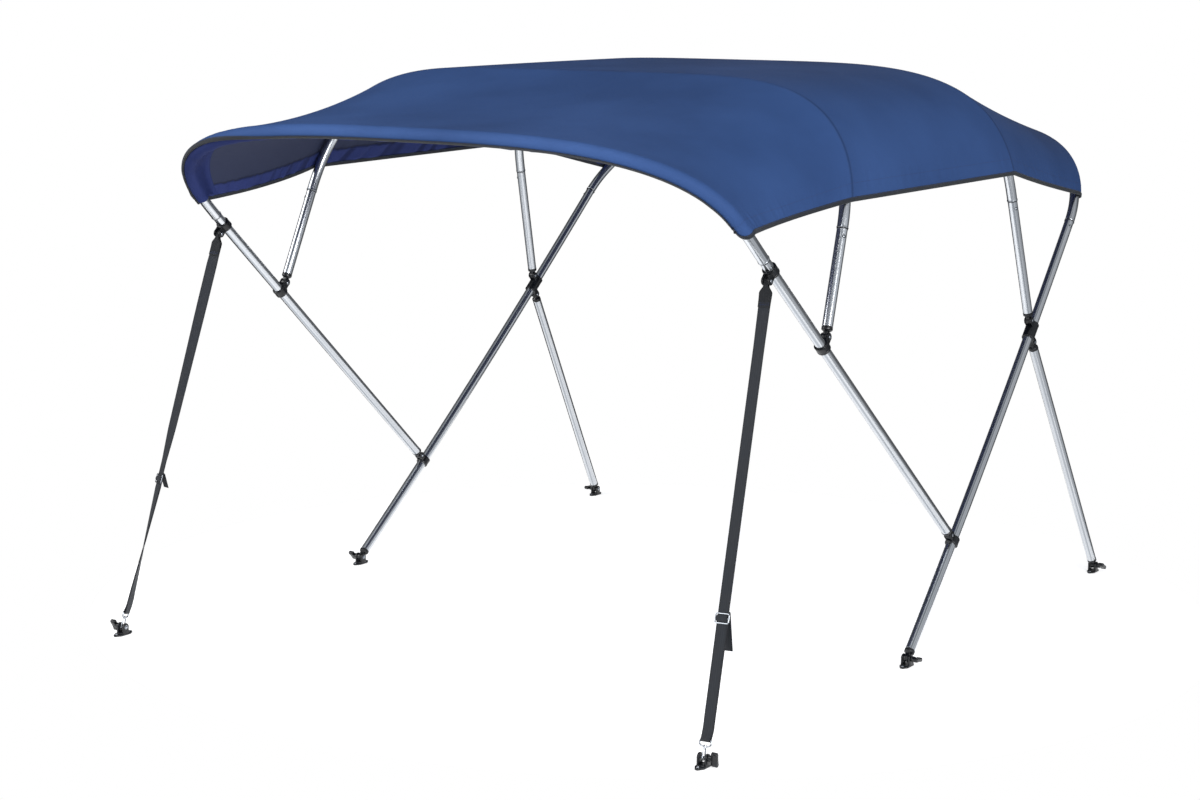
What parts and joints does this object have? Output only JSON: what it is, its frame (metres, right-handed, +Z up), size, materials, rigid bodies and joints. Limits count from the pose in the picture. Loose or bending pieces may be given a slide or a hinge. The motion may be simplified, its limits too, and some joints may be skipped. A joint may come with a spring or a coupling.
{
  "type": "bimini top with folding bow frame",
  "caption": "Bimini top: blue stretched canopy with dark bound edges on a folding frame of bent tubes, with hold-down straps and deck hinges.",
  "frame": {"origin": "centre of the bounding box at deck level, under the middle of the canopy", "axes": "+X across to the right-hand side frame, +Y along the canopy to the rear braces, +Z up; the straps stand at -Y"},
  "size_m": [1.8132, 2.3282, 1.4552],
  "materials": {
    "cloth": "blue coated woven canvas, matt",
    "binding": "charcoal woven edge tape",
    "sleeve": "navy lining side of the canvas, matt",
    "tube": "bright anodised round tube",
    "nylon": "black moulded nylon with steel pins and bolts",
    "webbing": "black woven webbing",
    "steel": "bright stainless steel"
  },
  "bodies": {
    "frame_and_canopy": {"canopy_front": "cloth", "canopy_middle": "cloth", "canopy_rear": "cloth", "edge_binding": "binding", "front_bow_sleeve": "sleeve", "bow_a": "tube", "bow_b": "tube", "bow_c": "tube", "bow_d": "tube", "leg_a_right": "tube", "leg_b_right": "tube", "leg_c_right": "tube", "brace_e_right": "tube", "leg_d_right": "tube", "eye_end_a_right": "nylon", "eye_end_b_right": "nylon", "eye_end_c_right": "nylon", "eye_end_e_top_right": "nylon", "eye_end_e_foot_right": "nylon", "eye_end_d_right": "nylon", "slider_a_right": "nylon", "slider_b_right": "nylon", "slider_c_e_right": "nylon", "slider_strap_right": "nylon", "deck_hinge_main_right": "nylon", "deck_hinge_rear_right": "nylon", "deck_hinge_strap_right": "nylon", "strap_right": "webbing", "buckle_right": "steel", "snap_hook_right": "steel", "leg_a_left": "tube", "leg_b_left": "tube", "leg_c_left": "tube", "brace_e_left": "tube", "leg_d_left": "tube", "eye_end_a_left": "nylon", "eye_end_b_left": "nylon", "eye_end_c_left": "nylon", "eye_end_e_top_left": "nylon", "eye_end_e_foot_left": "nylon", "eye_end_d_left": "nylon", "slider_a_left": "nylon", "slider_b_left": "nylon", "slider_c_e_left": "nylon", "slider_strap_left": "nylon", "deck_hinge_main_left": "nylon", "deck_hinge_rear_left": "nylon", "deck_hinge_strap_left": "nylon", "strap_left": "webbing", "buckle_left": "steel", "snap_hook_left": "steel"},
    "knob_main_right": {"thumb_screw_main_right": "nylon"},
    "knob_main_left": {"thumb_screw_main_left": "nylon"},
    "knob_rear_right": {"thumb_screw_rear_right": "nylon"},
    "knob_rear_left": {"thumb_screw_rear_left": "nylon"},
    "knob_strap_right": {"thumb_screw_strap_right": "nylon"},
    "knob_strap_left": {"thumb_screw_strap_left": "nylon"}
  },
  "joints": [
    {"name": "turn_main_right", "type": "hinge", "parent": "frame_and_canopy", "child": "knob_main_right", "pos_m": [0.87164, -0.189, 0.021], "axis": [1, 0, 0], "continuous": true},
    {"name": "turn_main_left", "type": "hinge", "parent": "frame_and_canopy", "child": "knob_main_left", "pos_m": [-0.87164, -0.189, 0.021], "axis": [-1, 0, 0], "continuous": true},
    {"name": "turn_rear_right", "type": "hinge", "parent": "frame_and_canopy", "child": "knob_rear_right", "pos_m": [0.87164, 1.02, 0.021], "axis": [1, 0, 0], "continuous": true},
    {"name": "turn_rear_left", "type": "hinge", "parent": "frame_and_canopy", "child": "knob_rear_left", "pos_m": [-0.87164, 1.02, 0.021], "axis": [-1, 0, 0], "continuous": true},
    {"name": "turn_strap_right", "type": "hinge", "parent": "frame_and_canopy", "child": "knob_strap_right", "pos_m": [0.86264, -1.134, 0.021], "axis": [1, 0, 0], "continuous": true},
    {"name": "turn_strap_left", "type": "hinge", "parent": "frame_and_canopy", "child": "knob_strap_left", "pos_m": [-0.86264, -1.134, 0.021], "axis": [-1, 0, 0], "continuous": true}
  ]
}
